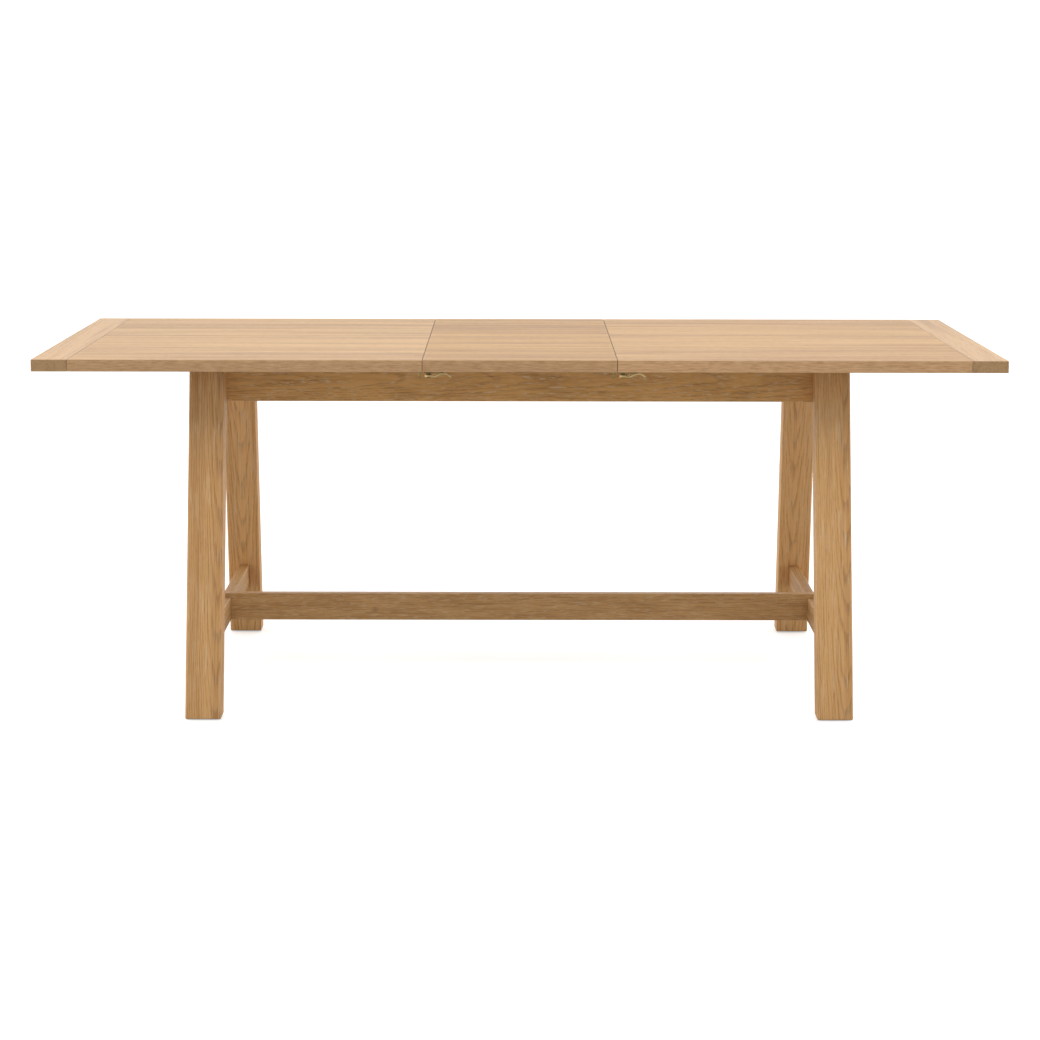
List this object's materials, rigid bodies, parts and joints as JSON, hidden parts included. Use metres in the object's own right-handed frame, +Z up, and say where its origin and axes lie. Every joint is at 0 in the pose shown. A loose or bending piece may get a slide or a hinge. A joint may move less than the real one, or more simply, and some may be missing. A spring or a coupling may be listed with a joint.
{
  "type": "extendable trestle dining table",
  "caption": "Oak trestle dining table with sliding half-tops, breadboard ends, a lift-out middle leaf and brass leaf catches.",
  "frame": {"origin": "on the floor under the centre of the table", "axes": "+X along the length to the right, +Y towards the rear edge, +Z up"},
  "size_m": [2, 0.9152, 0.75],
  "materials": {
    "oak_top": "light oak, limed and oiled, satin",
    "oak_frame": "light oak, brushed and limed, matt",
    "zinc_plated_steel": "zinc plated",
    "brass": "brass plated, slightly dulled",
    "black_nylon": "moulded, matt"
  },
  "bodies": {
    "base_frame": {"long_stretcher": "oak_frame", "left_cross_rail": "oak_frame", "left_head_rail": "oak_frame", "front_left_leg": "oak_frame", "front_left_foot_glide": "black_nylon", "front_left_inner_leg_bolt": "zinc_plated_steel", "front_left_outer_leg_bolt": "zinc_plated_steel", "left_front_fixed_slide": "zinc_plated_steel", "rear_left_leg": "oak_frame", "rear_left_foot_glide": "black_nylon", "rear_left_inner_leg_bolt": "zinc_plated_steel", "rear_left_outer_leg_bolt": "zinc_plated_steel", "left_rear_fixed_slide": "zinc_plated_steel", "right_cross_rail": "oak_frame", "right_head_rail": "oak_frame", "front_right_leg": "oak_frame", "front_right_foot_glide": "black_nylon", "front_right_inner_leg_bolt": "zinc_plated_steel", "front_right_outer_leg_bolt": "zinc_plated_steel", "right_front_fixed_slide": "zinc_plated_steel", "rear_right_leg": "oak_frame", "rear_right_foot_glide": "black_nylon", "rear_right_inner_leg_bolt": "zinc_plated_steel", "rear_right_outer_leg_bolt": "zinc_plated_steel", "right_rear_fixed_slide": "zinc_plated_steel", "front_apron": "oak_frame", "front_glide_strip": "black_nylon", "rear_apron": "oak_frame", "rear_glide_strip": "black_nylon"},
    "left_top": {"left_front_moving_slide": "zinc_plated_steel", "left_front_runner": "oak_frame", "left_rear_moving_slide": "zinc_plated_steel", "left_rear_runner": "oak_frame", "left_top_panel": "oak_top", "left_breadboard_end": "oak_top", "left_inner_batten": "oak_frame", "left_outer_batten": "oak_frame", "left_seam_front_catch_keeper": "brass", "left_seam_rear_catch_keeper": "brass"},
    "right_top": {"right_front_moving_slide": "zinc_plated_steel", "right_front_runner": "oak_frame", "right_rear_moving_slide": "zinc_plated_steel", "right_rear_runner": "oak_frame", "right_top_panel": "oak_top", "right_breadboard_end": "oak_top", "right_inner_batten": "oak_frame", "right_outer_batten": "oak_frame", "right_seam_front_catch_plate": "brass", "right_seam_rear_catch_plate": "brass"},
    "leaf": {"leaf_panel": "oak_top", "leaf_left_batten": "oak_frame", "leaf_right_batten": "oak_frame", "left_seam_front_catch_plate": "brass", "left_seam_rear_catch_plate": "brass", "right_seam_front_catch_keeper": "brass", "right_seam_rear_catch_keeper": "brass"},
    "left_seam_front_catch_lever": {"left_seam_front_catch_lever": "brass"},
    "left_seam_rear_catch_lever": {"left_seam_rear_catch_lever": "brass"},
    "right_seam_front_catch_lever": {"right_seam_front_catch_lever": "brass"},
    "right_seam_rear_catch_lever": {"right_seam_rear_catch_lever": "brass"}
  },
  "joints": [
    {"name": "left_top_slide", "type": "slide", "parent": "base_frame", "child": "left_top", "axis": [-1, 0, 0], "range_m": [0, 0.04]},
    {"name": "right_top_slide", "type": "slide", "parent": "base_frame", "child": "right_top", "axis": [1, 0, 0], "range_m": [0, 0.04]},
    {"name": "leaf_lift", "type": "slide", "parent": "base_frame", "child": "leaf", "axis": [0, 0, 1], "range_m": [0, 0.3]},
    {"name": "left_seam_front_catch_swing", "type": "hinge", "parent": "leaf", "child": "left_seam_front_catch_lever", "pos_m": [-0.188, -0.425, 0.715], "axis": [0, 0, 1], "range_deg": [0, 90]},
    {"name": "left_seam_rear_catch_swing", "type": "hinge", "parent": "leaf", "child": "left_seam_rear_catch_lever", "pos_m": [-0.188, 0.425, 0.715], "axis": [0, 0, -1], "range_deg": [0, 90]},
    {"name": "right_seam_front_catch_swing", "type": "hinge", "parent": "right_top", "child": "right_seam_front_catch_lever", "pos_m": [0.212, -0.425, 0.715], "axis": [0, 0, 1], "range_deg": [0, 90]},
    {"name": "right_seam_rear_catch_swing", "type": "hinge", "parent": "right_top", "child": "right_seam_rear_catch_lever", "pos_m": [0.212, 0.425, 0.715], "axis": [0, 0, -1], "range_deg": [0, 90]}
  ]
}
